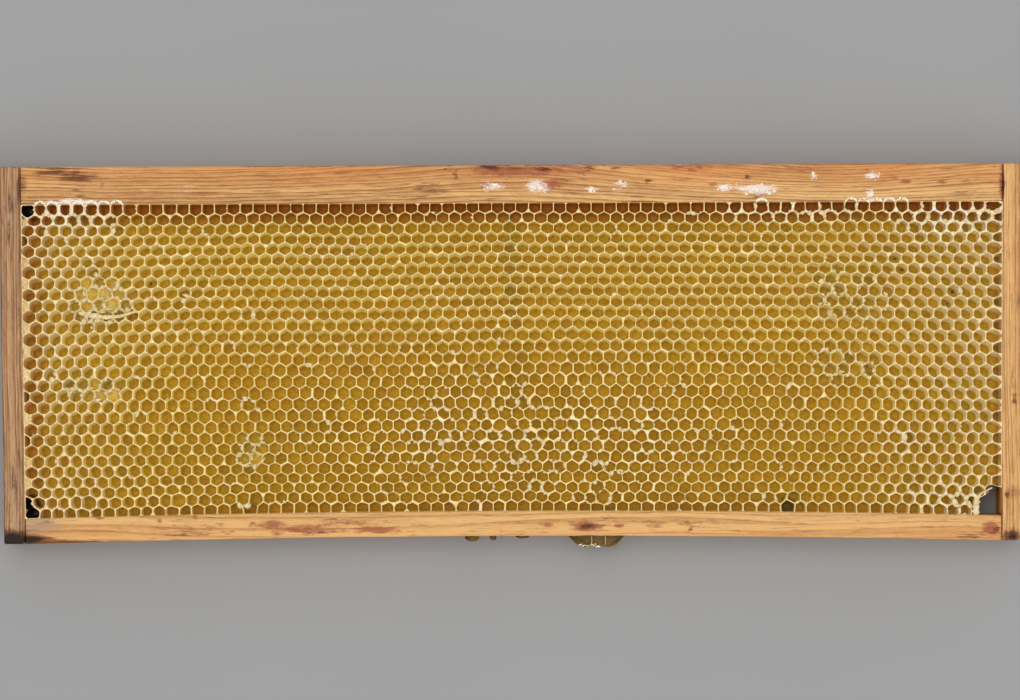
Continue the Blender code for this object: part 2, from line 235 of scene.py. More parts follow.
# Where arcs of wax stand along the top bar, and the paths and the thickness of walls of wax, in millimetres
WAX_ARCS = ((-203, -163), (105, 111), (139, 168))
TORN_EDGE = ((196.6, -68.2), (196.6, -64.0), (196.9, -60.6), (198.6, -58.9), (201.2, -57.4), (203.6, -56.2))
TORN_THICK = (2.6, 2.6, 1.6, 0.8, 0.6, 0.5)
TORN_RIDGE = ((-183.8, 19.6), (-178.0, 18.2), (-172.0, 17.4), (-166.0, 18.0), (-159.0, 20.2))
RIDGE_THICK = (1.4, 2.2, 1.6, 1.2, 0.8)
ARC_THICK = (0.5, 0.9, 1.2, 1.0, 1.2, 0.9, 1.1, 0.8, 0.4)
BURR_WALLS = (((33.4, -76.0), (33.6, -78.6), (33.3, -80.6)), ((39.3, -76.0), (39.5, -78.4), (39.2, -80.0)))

# Colours of the wood and the wax before light falls on them, except that the wax walls' colours hold painted
# light and the dark one painted shade
WOOD_WARM = linear(216, 136, 70)
WOOD_GREY = linear(168, 138, 110)
WOOD_RED = linear(150, 74, 48)
WOOD_SOILED = linear(134, 106, 100)
WOOD_CHARRED = linear(38, 22, 10)
WAX_ON_WOOD = linear(242, 226, 220)

# Each wood's name, its light and dark colour and how wide its rings are, and each bar's wood and slot
WOODS = (
    ("pine", linear(228, 181, 117), linear(150, 92, 48), 1.7 * MM),
    ("smooth_pine", linear(225, 180, 116), linear(180, 122, 68), 3.2 * MM),
    ("grey_pine", linear(202, 161, 116), linear(116, 79, 51), 1.6 * MM),
)
BARS = (
    ("top_bar", "pine", "pine"), ("bottom_bar", "smooth_pine", "pine"),
    ("side_bar_left", "grey_pine", "grey_pine"), ("side_bar_right", "pine", "pine"),
)
# How far apart the cuts through a bar are: along it, across it and down through it
CUT_ALONG = 1.5 * MM
CUT_ACROSS = 0.7 * MM
CUT_DOWN = 2.2 * MM

RIM_CREAM = linear(242, 213, 140)
RIM_PALE = linear(232, 206, 150)
RIM_WHITE = linear(252, 244, 222)
# Painted light: the walls' colours are paler than the wax itself, standing in for light shining through the thin
# walls
WALL_OLIVE = linear(255, 238, 160)
WALL_PALE = linear(250, 232, 186)
WALL_BROWN = linear(200, 136, 54)
BOTTOM_OLIVE = linear(220, 183, 54)
BOTTOM_GOLD = linear(213, 166, 50)
BOTTOM_BROWN = linear(188, 116, 26)
YELLOW_WAX = linear(212, 189, 114)
# Painted shade in the hollows' depths and on the burr comb, and the colour of dark crumbs
SHADE_AND_CRUMB_DARK = linear(36, 17, 7)

# The camera of the photograph: it looks straight down and is turned a fifth of a degree
CAMERA_PLACE = (-0.9 * MM, 3.0 * MM, 1835 * MM)
CAMERA_TURN = math.radians(-0.22)
CAMERA_LENS = 150.6

# The floor, the lights as name, place in metres, size in metres and watts, and the light from all around
FLOOR_HALF = 4.0
FLOOR_GREY = 0.33
LIGHTS = (("front_light", (-0.25, 0.35, 2.6), 1.6, 26), ("side_light", (1.6, -1.2, 2.0), 1.6, 11))
WORLD_LIGHT = 0.68


def left_inside(y):
    """x of the left side bar's inner face at height y."""
    return -HALF_WIDE + SIDE_BAR_THICK + LEFT_LEAN * (TOP_Y - y) / FRAME_HIGH


def right_inside(y):
    return HALF_WIDE - SIDE_BAR_THICK - RIGHT_LEAN * (TOP_Y - y) / FRAME_HIGH


def bottom_inside(x):
    """y of the bottom bar's upper face at x."""
    share = np.minimum(1, np.abs(x / (HALF_WIDE - SIDE_BAR_THICK)))
    return INNER_BOTTOM + BOTTOM_BAR_BOW * (1 - share**2)


def step(low, high, value):
    """0 below low, 1 above high and a smooth rise between, or the other way round where low is above high."""
    share = np.clip((value - low) / (high - low), 0, 1)
    return share * share * (3 - 2 * share)


def wander(x, y, size, seed):
    """Smooth noise from -1 to 1 whose bumps are size across."""
    table = default_rng(seed).uniform(-1, 1, (64, 64))
    across, up = x / size + 32, y / size + 32
    i, j = np.floor(across).astype(int), np.floor(up).astype(int)
    s, t = across - i, up - j
    s, t = s * s * (3 - 2 * s), t * t * (3 - 2 * t)
    i, j, i_next, j_next = i % 64, j % 64, (i + 1) % 64, (j + 1) % 64
    low = table[i, j] * (1 - s) + table[i_next, j] * s
    high = table[i, j_next] * (1 - s) + table[i_next, j_next] * s
    return low * (1 - t) + high * t


def spot(x, y, middle, size, core=0.0):
    """1 at the middle of an ellipse, as far as its core reaches, and 0 from its edge on."""
    far = np.sqrt(((x - middle[0]) / size[0]) ** 2 + ((y - middle[1]) / size[1]) ** 2)
    return step(1, core, far)


def new_object(name, data):
    made = bpy.data.objects.new(name, data)
    bpy.context.scene.collection.objects.link(made)
    return made


def mesh_object(name, points, faces, look, smooth=True):
    """An object from points and faces, with one material."""
    mesh = bpy.data.meshes.new(name)
    mesh.from_pydata(points, [], faces)
    mesh.materials.append(look)
    if smooth:
        mesh.shade_smooth()
    return new_object(name, mesh)


def vertex_rows(mesh, what="co"):
    """The place or the normal of each of a mesh's points."""
    rows = np.empty(len(mesh.vertices) * 3)
    mesh.vertices.foreach_get(what, rows)
    return rows.reshape(-1, 3)


def colour_layer(mesh, name, parts):
    """Four numbers for each of a mesh's points, which a material reads by their name."""
    full = np.zeros((len(mesh.vertices), 4), np.float32)
    for n, part in enumerate(parts):
        full[:, n] = part
    mesh.color_attributes.new(name, "FLOAT_COLOR", "POINT").data.foreach_set("color", full.ravel())


def in_ellipse(x, y, middle, size):
    return ((x - middle[0]) / size[0]) ** 2 + ((y - middle[1]) / size[1]) ** 2 < 1


def in_missing_corner(x, y, wider=1.0):
    return in_ellipse(x, y, (right_inside(INNER_BOTTOM), INNER_BOTTOM), np.array(MISSING_CORNER) * wider)


class Nodes:
    """A material's nodes, made and joined in short lines."""

    def __init__(self, name):
        self.material = bpy.data.materials.new(name)
        self.material.use_nodes = True
        self.tree = self.material.node_tree
        self.shader = self.tree.nodes["Principled BSDF"]

    def add(self, kind, **settings):
        node = self.tree.nodes.new(kind)
        for key, value in settings.items():
            setattr(node, key, value)
        return node

    def put(self, socket, value):
        if isinstance(value, bpy.types.NodeSocket):
            self.tree.links.new(value, socket)
        else:
            socket.default_value = value

    def attribute(self, name):
        """The four numbers that the mesh holds for each of its points under a name."""
        node, parts = self.add("ShaderNodeAttribute", attribute_name=name), self.add("ShaderNodeSeparateColor")
        self.put(parts.inputs[0], node.outputs["Color"])
        return *parts.outputs, node.outputs["Alpha"]

    def noise(self, scale, detail=3, roughness=0.55, where=None):
        """Noise at the given place, or else at the object's own place in metres."""
        if where is None:
            where = self.add("ShaderNodeTexCoord").outputs["Object"]
        node = self.add("ShaderNodeTexNoise")
        for key, value in (("Vector", where), ("Scale", scale), ("Detail", detail), ("Roughness", roughness)):
            self.put(node.inputs[key], value)
        return node.outputs["Fac"]

    def math(self, operation, a, b=0.0, c=0.0):
        node = self.add("ShaderNodeMath", operation=operation)
        for socket, value in zip(node.inputs, (a, b, c)):
            self.put(socket, value)
        return node.outputs[0]

    def times(self, a, b):
        return self.math("MULTIPLY", a, b)

    def plus(self, a, b):
        return self.math("ADD", a, b)

    def ramp(self, value, low, high, start=0.0, end=1.0):
        """value from low to high, turned into start to end."""
        node = self.add("ShaderNodeMapRange")
        names = ("Value", "From Min", "From Max", "To Min", "To Max")
        for key, given in zip(names, (value, low, high, start, end)):
            self.put(node.inputs[key], given)
        return node.outputs["Result"]

    def mix(self, share, a, b, blend="MIX"):
        node = self.add("ShaderNodeMix", data_type="RGBA", blend_type=blend)
        for socket, value in ((node.inputs[0], share), (node.inputs[6], a), (node.inputs[7], b)):
            self.put(socket, (*value, 1) if isinstance(value, tuple) and len(value) == 3 else value)
        return node.outputs[2]

    def grey(self, lightness):
        node = self.add("ShaderNodeCombineColor")
        for socket in node.inputs[:3]:
            self.put(socket, lightness)
        return node.outputs[0]

    def surface(self, colour, roughness, wetness):
        for key, value in (("Base Color", colour), ("Roughness", roughness), ("Specular IOR Level", wetness)):
            self.put(self.shader.inputs[key], value)

    def bump(self, height, strength, distance):
        node = self.add("ShaderNodeBump")
        for key, value in (("Height", height), ("Strength", strength), ("Distance", distance)):
            self.put(node.inputs[key], value)
        self.put(self.shader.inputs["Normal"], node.outputs["Normal"])


def wax_material(name, roughness, wetness):
    """Beeswax. The mesh says how deep each point lies and how brown, pale, white, yellow or dark it is there.
    Dark is painted shade in the hollows and on the burr comb, besides the colour of dark crumbs; the walls'
    colours hold painted light.
    """
    made = Nodes(name)
    deep, brown, pale, white = made.attribute("where")
    own, yellow, dark = made.attribute("what")[:3]

    coarse = made.noise(160, 3)
    grain = made.noise(900, 4, 0.65)
    golden = made.plus(made.times(own, 0.3), made.ramp(coarse, 0.35, 0.65, -0.1, 0.45))
    golden = made.plus(golden, made.ramp(made.noise(500, 3), 0.4, 0.65, -0.2, 0.5))
    golden = made.ramp(made.plus(golden, made.times(brown, 0.8)), 0, 1)
    bottom = made.mix(golden, BOTTOM_OLIVE, BOTTOM_GOLD)
    bottom = made.mix(made.ramp(brown, 0.15, 1.0), bottom, BOTTOM_BROWN)
    # Painted light in the walls' colours, palest at the comb's ends
    wall = made.mix(pale, WALL_OLIVE, WALL_PALE)
    wall = made.mix(made.times(brown, 0.85), wall, WALL_BROWN)
    rim = made.mix(pale, RIM_CREAM, RIM_PALE)
    rim = made.mix(made.plus(white, made.ramp(made.noise(330, 2), 0.52, 0.7, 0, 0.4)), rim, RIM_WHITE)
    colour = made.mix(made.ramp(deep, 0.86, 0.97), wall, bottom)
    colour = made.mix(made.ramp(deep, 0.02, 0.10), rim, colour)
    strong = made.times(yellow, made.ramp(made.noise(420, 3), 0.38, 0.62, 0.0, 1.0))
    colour = made.mix(strong, colour, YELLOW_WAX)
    # Painted shade from the mesh's dark share: deep in the hollows and on the burr comb, besides dark crumbs
    colour = made.mix(dark, colour, SHADE_AND_CRUMB_DARK)
    # Mottling times a tone from the mesh's own share, which also darkens each bottom's middle a little as
    # painted shade
    light = made.times(made.ramp(grain, 0.3, 0.7, 0.74, 1.2), made.ramp(own, -1, 1, 1.03, 0.97))
    made.surface(made.mix(1.0, colour, made.grey(light), "MULTIPLY"), roughness, wetness)
    made.bump(made.noise(1500, 3), 0.3, 0.2 * MM)
    return made.material


def paint(mesh, deep=0.0, brown=0.0, pale=0.0, white=0.0, own=0.0, yellow=0.0, dark=0.0):
    """Tells the wax material about each point of a mesh."""
    colour_layer(mesh, "where", (deep, brown, pale, white))
    colour_layer(mesh, "what", (own, yellow, dark, 1.0))


# Where an outline counts as straight, and how much of its sides the rounded corners take at most
STRAIGHT = 0.25
CUT_MOST = 0.42
CUT_STRAIGHT = 0.3

# The six corners of a cell from its middle, against the clock, in half steps of the net
CORNER_STEPS = ((0, 2), (-1, 1), (-1, -1), (0, -2), (1, -1), (1, 1))
NET_WIDE = 2 * COLUMNS
NET_LOW = -(3 * ROWS - 2)
# How much further than the net the outermost cells reach, in half steps, to meet the wood
REACH_RIGHT = 0.5
REACH_TOP = 0.6
REACH_BOTTOM = 0.4


def push_from(x, y, middle, radius, far):
    """Moves points near a middle away from it, most of all those close by."""
    dx, dy = x - middle[0], y - middle[1]
    gap = np.maximum(np.hypot(dx, dy), 0.01 * MM)
    push = far * step(radius, 0, gap)
    return x + dx / gap * push, y + dy / gap * push


def net_place(across, down, seed):
    """x and y of the net's corners: on the border where that is, and elsewhere a little off their places."""
    u = np.where(across >= NET_WIDE, 1, np.clip(across / (NET_WIDE + REACH_RIGHT), 0, 1))
    t = (1 + REACH_TOP - down) / (1 + REACH_TOP - NET_LOW + REACH_BOTTOM)
    t = np.where(down >= 1, 0, np.where(down <= NET_LOW, 1, t))
    on_side = (u == 0) | (u == 1)
    on_end = (t == 0) | (t == 1)
    u = u + CELLS_WIDER_AT_ENDS * np.sin(2 * math.pi * u) / (2 * math.pi)
    v = t - ROWS_CLOSER_AT_ENDS * np.sin(2 * math.pi * t) / (2 * math.pi)
    high = INNER_TOP - TOUCH_GAP
    x = (2 * u - 1) * (HALF_WIDE - SIDE_BAR_THICK)
    y = high + v * (bottom_inside(x) + TOUCH_GAP - high)
    left, right = left_inside(y) + TOUCH_GAP, right_inside(y) - TOUCH_GAP
    x = left + u * (right - left)
    low = bottom_inside(x) + TOUCH_GAP
    draw = default_rng(seed)
    rough = 0.10 * MM + 0.25 * MM * yellow_patch(x, y) + 0.14 * MM * ragged(x, y)
    room = (
        step(0, 7 * MM, np.minimum(x - left, right - x)) * ~on_side,
        step(0, 6 * MM, np.minimum(y - low, high - y)) * ~on_end,
    )
    shifts = []
    for n in (0, 1):
        slow = 0.5 * MM * wander(x, y, 34 * MM, seed + 10 + n)
        quick = 0.26 * MM * wander(x, y, 8 * MM, seed + 20 + n)
        shifts.append((slow + quick + rough * draw.normal(size=len(x)).clip(-2, 2)) * room[n])
    x, y = x + shifts[0], y + shifts[1]
    for middle, size, _ in HOLLOWS:
        x, y = push_from(x, y, middle, 2.2 * max(size), HOLLOW_WIDENS)
    low = bottom_inside(x) + TOUCH_GAP
    y = np.where(on_end, np.where(down >= 1, high, low), np.clip(y, low, high))
    left, right = left_inside(y) + TOUCH_GAP, right_inside(y) - TOUCH_GAP
    x = np.where(on_side, np.where(across <= 0, left, right), np.clip(x, left, right))
    return x, y, on_side, on_end


class Net:
    """One side's net of cells: corners and edges that neighbours share, and the cells between them."""

    def __init__(self, half_step, seed):
        cells = []
        for row in range(ROWS):
            out = (row + half_step) % 2
            for column in range(COLUMNS + out):
                cells.append((2 * column + 1 - out, -3 * row))
        ids = {}
        self.corner = np.array(
            [[ids.setdefault((a + i, b + j), len(ids)) for i, j in CORNER_STEPS] for a, b in cells]
        )
        keys = np.array(list(ids))
        self.x, self.y, on_side, on_end = net_place(keys[:, 0], keys[:, 1], seed)
        pairs = {}
        self.edge = np.array(
            [[pairs.setdefault(frozenset((c[k], c[k - 5])), len(pairs)) for k in range(6)] for c in self.corner]
        )
        ends = np.array([sorted(pair) for pair in pairs])
        self.ends = ends
        self.edge_x = self.x[ends].mean(1)
        self.edge_y = self.y[ends].mean(1)
        along_side = on_side[ends].all(1) & (np.abs(np.diff(self.x[ends], axis=1)[:, 0]) < 1 * MM)
        along_end = on_end[ends].all(1) & (np.abs(np.diff(self.y[ends], axis=1)[:, 0]) < 0.5 * MM)
        self.on_wood = along_side | along_end
        self.cell_x = self.x[self.corner].mean(1)
        self.cell_y = self.y[self.corner].mean(1)
        self.many = len(cells)


def inward_shift(first, second, h_first, h_second):
    """How a cell's corner moves when its walls move in by h along their normals, and where they are in line."""
    det = first[..., 0] * second[..., 1] - first[..., 1] * second[..., 0]
    in_line = np.abs(det) < STRAIGHT
    safe = np.where(in_line, 1, det)
    x = (h_first * second[..., 1] - h_second * first[..., 1]) / safe
    y = (first[..., 0] * h_second - second[..., 0] * h_first) / safe
    level = (first * h_first[..., None] + second * h_second[..., None]) / 2
    return np.where(in_line[..., None], level, np.stack((x, y), -1)), in_line


def inner_outline(points, thick, round_off):
    """Twelve points of a cell's inside: its six corners, moved in by the walls and each cut off by two."""
    ahead = np.roll(points, -1, axis=1) - points
    ahead = ahead / np.maximum(np.linalg.norm(ahead, axis=2, keepdims=True), 1e-7)
    inward = np.stack((-ahead[..., 1], ahead[..., 0]), -1)
    moved, in_line = inward_shift(np.roll(inward, 1, axis=1), inward, np.roll(thick, 1, axis=1), thick)
    inner = points + moved
    to_next = np.roll(inner, -1, axis=1) - inner
    size = np.linalg.norm(to_next, axis=2)
    unit = to_next / np.maximum(size[..., None], 1e-7)
    cut_back, cut = (
        np.where(in_line, CUT_STRAIGHT * most, np.minimum(round_off, most))
        for most in (CUT_MOST * np.roll(size, 1, axis=1), CUT_MOST * size)
    )
    before = inner - np.roll(unit, 1, axis=1) * cut_back[..., None]
    after = inner + unit * cut[..., None]
    return np.stack((before, after), 2).reshape(len(points), 12, 2)


def yellow_patch(x, y):
    """Where the comb was torn and its walls are smeared into yellow wax."""
    ragged_edge = 1 + 0.25 * wander(x, y, 7 * MM, SEED + 90)
    patches = (strength * spot(x, y, middle, size, 0.4) for middle, size, strength in YELLOW_PATCHES)
    return np.clip(sum(patches) * ragged_edge, 0, 1)


def ragged(x, y):
    """Where the rims are thick, uneven and torn."""
    return np.clip(sum(strength * spot(x, y, middle, size) for middle, size, strength in RAGGED_PATCHES), 0, 1)


def far_out(x, start=120 * MM):
    """0 in the comb's middle, 1 near its left and right ends."""
    return step(start, 200 * MM, np.abs(x))


def height_share(y):
    """0 at the top bar and 1 at the bottom bar's ends."""
    return (INNER_TOP - y) / (INNER_TOP - INNER_BOTTOM)


class Wax:
    """What is uneven in one side of the comb: its walls, rims, depths, leans and colours."""

    def __init__(self, net, seed, front):
        draw = default_rng(seed + 1)
        x, y, many = net.cell_x, net.cell_y, net.many
        edges, corners = len(net.edge_x), len(net.x)
        torn_edge = ragged(net.edge_x, net.edge_y)
        torn_corner = ragged(net.x, net.y)
        yellow_edge = yellow_patch(net.edge_x, net.edge_y)

        outward = far_out(net.edge_x)
        lowest = step(0.82, 0.98, height_share(net.edge_y))
        thick = WALL_THICK * (1 + 0.2 * outward + 0.6 * yellow_edge + 0.8 * torn_edge + 0.25 * lowest)
        thick = thick * (1 + 0.18 * draw.normal(size=edges).clip(-2, 2.5))
        heavy = draw.random(edges) < 0.04 + 0.18 * torn_edge
        thick = np.where(heavy, thick * draw.uniform(1.4, 2.4, edges), thick)
        at_side = np.abs(net.edge_x) > HALF_WIDE - 2 * SIDE_BAR_THICK
        at_wood = np.where(at_side, np.where(net.edge_x > 0, RIM_ON_RIGHT_BAR, RIM_ON_LEFT_BAR), RIM_ON_BARS)
        self.half_thick = np.where(net.on_wood, at_wood, thick / 2)
        self.lump = draw.random(corners) ** (17 - 13 * torn_corner) * LUMP_MOST
        self.lump = np.where(net.x > HALF_WIDE - SIDE_BAR_THICK - 1.6 * MM, LUMP_MOST, self.lump)
        self.rounding = ROUNDING + ROUNDER_AT_ENDS * far_out(x, 110 * MM)
        self.rounding = self.rounding + 0.1 * MM * draw.normal(size=many).clip(-1, 1)

        self.corner_z = -0.35 * MM * draw.random(corners) ** 2
        self.edge_z = -0.45 * MM * draw.random(edges) ** 2
        torn = draw.random(edges) < 0.03 + 0.25 * yellow_edge + 0.12 * torn_edge
        self.edge_z = np.where(torn, -draw.uniform(0.8, 2.5, edges) * MM, self.edge_z)
        self.corner_z = self.corner_z - 1.2 * MM * yellow_patch(net.x, net.y) * draw.random(corners)
        self.bend = WALL_BENDS * draw.normal(size=(2, edges)).clip(-2, 2) * ~net.on_wood

        down = height_share(y)
        far = far_out(x)
        self.lean = 0.012 + LEAN_MOST * step(0.03, 0.17, down) * step(0.66 + 0.25 * far, 0.36 + 0.2 * far, down)
        self.side_lean = 0.012 * wander(x, y, 40 * MM, seed + 5) - SIDE_LEAN_MOST * far * np.sign(x)

        self.deep = CELL_DEEP * (1 + 0.04 * draw.normal(size=many).clip(-2, 1.2))
        yellow = yellow_patch(x, y)
        smeared = draw.random(many) < 0.9 * yellow - 0.25
        filling = np.where(smeared, draw.uniform(0.35, 0.76, many), 0.5 * yellow * draw.random(many))
        self.deep = self.deep * (1 - filling)
        # How dark each cell of a hollow is painted below its rim: painted shade of its depth
        self.hollow = np.zeros(many)
        if front:
            for middle, size, dark in HOLLOWS:
                self.hollow = np.maximum(self.hollow, dark * in_ellipse(x, y, middle, size))
        self.open_hollows(net)
        self.own = draw.normal(size=many).clip(-1.6, 1.6) / 1.6
        self.filled = self.fill_slivers(net, draw)

    def open_hollows(self, net):
        """Takes the walls between the cells of one hollow down."""
        around = np.zeros(len(self.edge_z), int)
        np.add.at(around, net.edge[self.hollow > 0], 1)
        gone = around == 2
        self.edge_z = np.where(gone, -HOLLOW_WALLS_DOWN, self.edge_z)
        shared = np.zeros(len(self.corner_z), int)
        np.add.at(shared, net.corner[self.hollow > 0], 1)
        self.corner_z = np.where(shared >= 3, -HOLLOW_WALLS_DOWN, self.corner_z)

    def fill_slivers(self, net, draw):
        """Some of the half cells along the left bar are filled with wax almost to the rim."""
        span = np.ptp(net.x[net.corner], axis=1)
        sliver = (span < 0.62 * np.median(span)) & (net.cell_x < 0) & (self.hollow == 0)
        filled = sliver & (draw.random(net.many) < 0.7)
        self.deep = np.where(filled, draw.uniform(1.6, 3.5, net.many) * MM, self.deep)
        return filled


def brown_share(x, y):
    """How brown the cells' bottoms are: most under the top bar, and some along the other bars."""
    down = height_share(y)
    low = (bottom_inside(x) - y) / (5 * MM) + 1
    sides = np.where(x < 0, 0.8 * step(194 * MM, 206 * MM, -x), step(204 * MM, 209 * MM, x))
    return np.clip(step(0.085, 0.01, down) + 0.3 * step(-0.8, 0.8, low) + 0.75 * sides, 0, 1)


def pale_share(x, y):
    """How pale the walls are: most towards the right end and its upper corner. At the ends the pale walls are
    painted light, for light shining through the thin wax.
    """
    right = step(120 * MM, 200 * MM, x)
    left = step(-150 * MM, -205 * MM, x)
    torn = 0.6 * ragged(x, y) * step(40 * MM, 55 * MM, y)
    return np.clip(0.12 + 0.75 * right + 0.6 * left + torn + 0.15 * wander(x, y, 22 * MM, SEED), 0, 1)


# Levels of a cell from its rim down: depth, and its shares of the wall's thickness, the lumps and the depth
LEVELS = (
    (0.06 * MM, 0.72, 1.0, 0.0),
    (0.35 * MM, 1.0, 1.0, 0.03),
    (1.3 * MM, 0.62, 0.55, 0.14),
    (None, 0.7, 0.0, 1.0),
)


# How deep a torn rim looks to the wax material, which paints rims by their depth
TORN_SHADE = 0.09


def cell_points(net, wax):
    """The points of all cells: shared corners and edge middles, four rings of twelve a cell, and its bottom."""
    corners = np.stack((net.x, net.y, RIM_Z + wax.corner_z), -1)
    middles = np.stack((net.edge_x + wax.bend[0], net.edge_y + wax.bend[1], RIM_Z + wax.edge_z), -1)
    outline = np.stack((net.x[net.corner], net.y[net.corner]), -1)
    thick, lump = wax.half_thick[net.edge], wax.lump[net.corner]
    at_corner, at_edge = wax.corner_z[net.corner], wax.edge_z[net.edge]
    sides = (np.roll(at_edge, 1, axis=1), at_edge)
    uneven = np.stack([0.7 * at_corner + 0.3 * side for side in sides], 2).reshape(net.many, 12)
    every_other = np.array([0, 0, 1, 1] * 3)
    torn = [TORN_SHADE * step(0.3 * MM, 1.6 * MM, -fall) for fall in (wax.corner_z, wax.edge_z, uneven)]
    stack, shares = [corners, middles], [*torn[:2]]
    for depth, wall, lumps, share in LEVELS:
        flat = inner_outline(outline, thick * wall, wax.rounding[:, None] + lump * lumps)
        if depth is None:
            fall = wax.deep[:, None] - BASE_RISE * (1 + every_other)
        else:
            fall = np.full((net.many, 12), depth) - uneven * (1 - share)
            fall = np.minimum(fall, wax.deep[:, None] - 1.2 * MM)
        x = flat[..., 0] + wax.side_lean[:, None] * fall
        y = flat[..., 1] - wax.lean[:, None] * fall
        stack.append(np.stack((x, y, RIM_Z - fall), -1).reshape(-1, 3))
        shares.append(share + (torn[2].ravel() if share < TORN_SHADE else np.zeros(net.many * 12)))
    bottom = (net.cell_x + wax.side_lean * wax.deep, net.cell_y - wax.lean * wax.deep, RIM_Z - wax.deep)
    stack.append(np.stack(bottom, -1))
    shares.append(np.full(net.many, 1.05))
    starts = np.cumsum([0] + [len(part) for part in stack])
    numbers = np.arange(net.many)
    shared = np.full(len(corners) + len(middles), -1)
    owner = np.concatenate([shared, *[np.repeat(numbers, 12)] * len(LEVELS), numbers])
    return np.concatenate(stack), np.concatenate(shares), owner, starts


def cell_faces(net, used, starts):
    """The triangles of the cells in use, and their shared edges as start, middle and end."""
    number = np.flatnonzero(used)
    corner = net.corner[used] + starts[0]
    edge = net.edge[used] + starts[1]
    rings = [starts[2 + n] + number[:, None] * 12 + np.arange(12) for n in range(len(LEVELS))]
    bottom = starts[2 + len(LEVELS)] + number
    faces, edges = [], []
    top = rings[0]
    for k in range(6):
        after = (k + 1) % 6
        start, middle, end = corner[:, k], edge[:, k], corner[:, after]
        a, b, c = top[:, 2 * k], top[:, 2 * k + 1], top[:, 2 * after]
        faces += [(start, b, a), (start, middle, b), (middle, c, b), (middle, end, c)]
        edges.append(np.stack((start, middle, end), -1))
    for upper, lower in zip(rings, rings[1:]):
        for k in range(12):
            after = (k + 1) % 12
            faces.append((upper[:, k], upper[:, after], lower[:, after]))
            faces.append((upper[:, k], lower[:, after], lower[:, k]))
    for k in range(12):
        faces.append((rings[-1][:, k], rings[-1][:, (k + 1) % 12], bottom))
    return np.concatenate([np.stack(face, -1) for face in faces]), np.concatenate(edges)


def close_slab(place, edges):
    """Sides down from the border of the cells and a flat cap in the midrib, with the new points they need."""
    times = np.bincount(edges[:, 1], minlength=len(place))
    border = edges[times[edges[:, 1]] == 1].tolist()
    onward = {}
    for start, middle, end in border:
        onward[start] = middle
        onward[middle] = end
    below = {point: len(place) + n for n, point in enumerate(onward)}
    added = [(place[point][0], place[point][1], MIDDLE_Z + MIDRIB_HALF) for point in below]
    sides = [(q, p, below[p], below[q]) for p, q in onward.items()]
    loop = [border[0][0]]
    while onward[loop[-1]] != loop[0]:
        loop.append(onward[loop[-1]])
    cap = tuple(below[point] for point in reversed(loop))
    return added, [*sides, cap]


def comb_half(name, front, net, wax, points, used, look):
    """The cells in use of one side of the comb: a closed slab with its flat back in the midrib."""
    place, share, owner, starts = points
    faces, edges = cell_faces(net, used, starts)
    added, closing = close_slab(place, edges)
    place = np.concatenate((place, added))
    share = np.concatenate((share, np.full(len(added), 0.8)))
    owner = np.concatenate((owner, np.full(len(added), -1)))
    polygons = [*faces.tolist(), *closing]
    if not front:
        place[:, 2] = FRAME_DEEP - place[:, 2]
        polygons = [face[::-1] for face in polygons]
    wanted = np.unique(np.concatenate([np.ravel(face) for face in (faces, *closing)]))
    renumber = np.zeros(len(place), int)
    renumber[wanted] = np.arange(len(wanted))
    made = mesh_object(name, place[wanted], [renumber[list(face)].tolist() for face in polygons], look)
    paint_comb(made.data, net, wax, place[wanted], share[wanted], owner[wanted])
    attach(made, "root")
    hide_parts("comb")


def comb_side(side, front, half_step, seed, look):
    """One side of the comb, as a left and a right half."""
    net = Net(half_step, seed)
    wax = Wax(net, seed, front)
    points = cell_points(net, wax)
    there = ~in_missing_corner(net.cell_x, net.cell_y)
    for half, chosen in (("left", net.cell_x < 0), ("right", net.cell_x >= 0)):
        comb_half("comb_" + side + "_" + half, front, net, wax, points, there & chosen, look)
    return net


def paint_comb(mesh, net, wax, place, share, owner):
    x, y = place[:, 0], place[:, 1]
    of_cell = owner >= 0
    # Each cell's own tone; the middle of its bottom is pushed more golden and a little darker, a painted shade
    # of the bottom's dip
    own = np.where(of_cell, 0.55 * wax.own[owner] + np.where(share > 1, 1.3, -0.5), 0)
    hollow = np.where(of_cell, wax.hollow[owner], 0)
    filled = of_cell & wax.filled[owner]
    # Painted shade: dark below the rims of the hollows' cells, and at every point in or near a hollow more than
    # 3 mm down
    near = sum(dark * in_ellipse(x, y, middle, np.array(size) * 1.05) for middle, size, dark in HOLLOWS)
    near = near * (place[:, 2] < FRAME_DEEP - 3 * MM)
    share = np.where(filled & (share > 0.5), 0.4, share)
    white = np.clip(0.35 * ragged(x, y) + 0.15 * wander(x, y, 15 * MM, SEED + 3), 0, 1)
    paint(
        mesh,
        deep=share,
        brown=np.where(filled, FILLED_BROWN, brown_share(x, y)),
        pale=pale_share(x, y),
        white=white,
        own=own,
        yellow=0.75 * yellow_patch(x, y),
        dark=np.clip(np.maximum(hollow * (share > 0.1), near), 0, 1),
    )


def finely_cut(node, name, steps):
    """A copy of a bar's solid, cut by planes a step apart, so that its faces can be painted and worn."""
    shape = bmesh.new()
    shape.from_mesh(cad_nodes[node].data)
    bmesh.ops.remove_doubles(shape, verts=shape.verts, dist=0.001 * MM)
    low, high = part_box(node)
    for axis in sorted(range(3), key=lambda axis: low[axis] - high[axis]):
        count = int((high[axis] - low[axis]) / steps[axis])
        normal = Vector((0, 0, 0))
        normal[axis] = 1
        for n in range(1, count):
            plane = low.copy()
            plane[axis] = low[axis] + (high[axis] - low[axis]) * n / count
            everything = [*shape.verts, *shape.edges, *shape.faces]
            bmesh.ops.bisect_plane(shape, geom=everything, dist=0.0005 * MM, plane_co=plane, plane_no=normal)
    mesh = bpy.data.meshes.new(name)
    shape.to_mesh(mesh)
    shape.free()
    return new_object(name, mesh)


